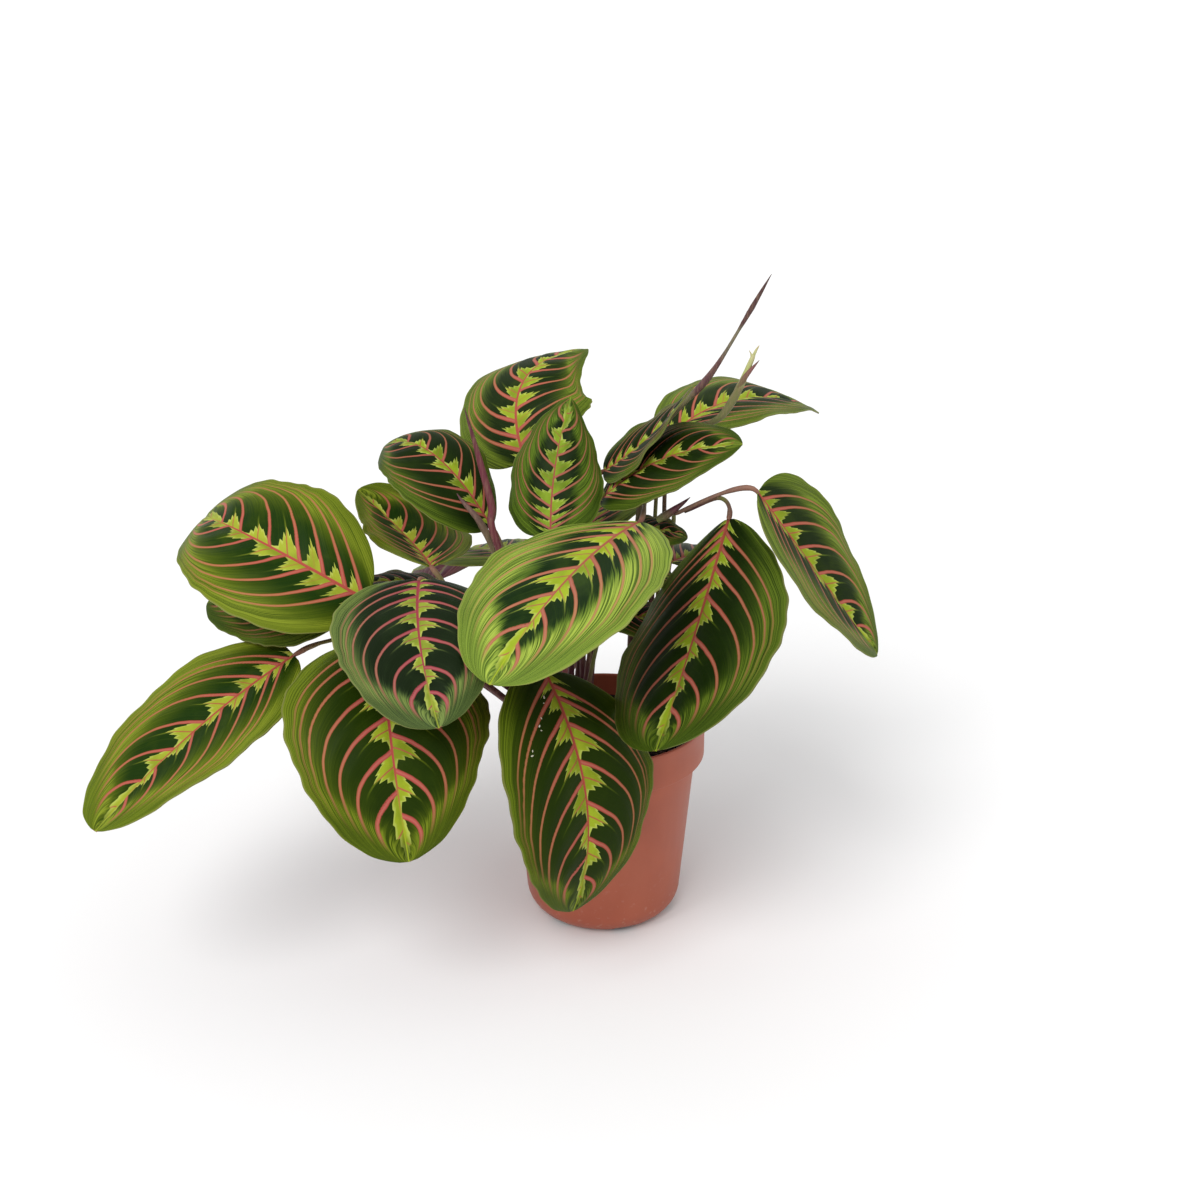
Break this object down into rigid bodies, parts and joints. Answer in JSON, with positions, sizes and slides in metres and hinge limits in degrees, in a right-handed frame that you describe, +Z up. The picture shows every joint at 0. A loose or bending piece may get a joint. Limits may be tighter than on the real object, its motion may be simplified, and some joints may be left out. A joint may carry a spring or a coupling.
{
  "type": "potted prayer plant",
  "caption": "Spreading pot plant with broad red-veined leaves on thin stalks, rolled young leaves and an old flower stalk, growing in soil in a round tapered plastic nursery pot.",
  "frame": {"origin": "centre of the pot's flat base, on the surface it stands on", "axes": "+Z up, -Y towards the plant's front, +X to the right seen from the front"},
  "size_m": [0.4369, 0.2959, 0.3792],
  "materials": {
    "pot_plastic": "satin",
    "soil": "matte",
    "leaf": "matte",
    "stalk": "satin",
    "rolled_leaf": "satin",
    "old_flower_stalk": "matte"
  },
  "bodies": {
    "root": {"pot": "pot_plastic", "soil": "soil", "blade_back_left": "leaf", "blade_back_low": "leaf", "blade_back_middle": "leaf", "blade_back_right": "leaf", "blade_centre": "leaf", "blade_far_left": "leaf", "blade_far_right": "leaf", "blade_folded": "leaf", "blade_front": "leaf", "blade_front_left": "leaf", "blade_half_hidden": "leaf", "blade_inner_high": "leaf", "blade_inner_low": "leaf", "blade_inner_middle": "leaf", "blade_low_left": "leaf", "blade_mid_left": "leaf", "blade_right": "leaf", "blade_side_right": "leaf", "blade_top": "leaf", "blade_top_right": "leaf", "blade_tucked_left": "leaf", "blade_under_left": "leaf", "blade_upper_left": "leaf", "blade_upright": "leaf", "old_flower_stalk": "old_flower_stalk", "rolled_leaf_left": "rolled_leaf", "rolled_leaf_short": "rolled_leaf", "rolled_leaf_tall": "rolled_leaf", "stalk_back_left": "stalk", "stalk_back_low": "stalk", "stalk_back_middle": "stalk", "stalk_back_right": "stalk", "stalk_centre": "stalk", "stalk_far_left": "stalk", "stalk_far_right": "stalk", "stalk_folded": "stalk", "stalk_front": "stalk", "stalk_front_left": "stalk", "stalk_half_hidden": "stalk", "stalk_inner_high": "stalk", "stalk_inner_low": "stalk", "stalk_inner_middle": "stalk", "stalk_low_left": "stalk", "stalk_mid_left": "stalk", "stalk_right": "stalk", "stalk_side_right": "stalk", "stalk_top": "stalk", "stalk_top_right": "stalk", "stalk_tucked_left": "stalk", "stalk_under_left": "stalk", "stalk_upper_left": "stalk", "stalk_upright": "stalk"}
  },
  "joints": []
}
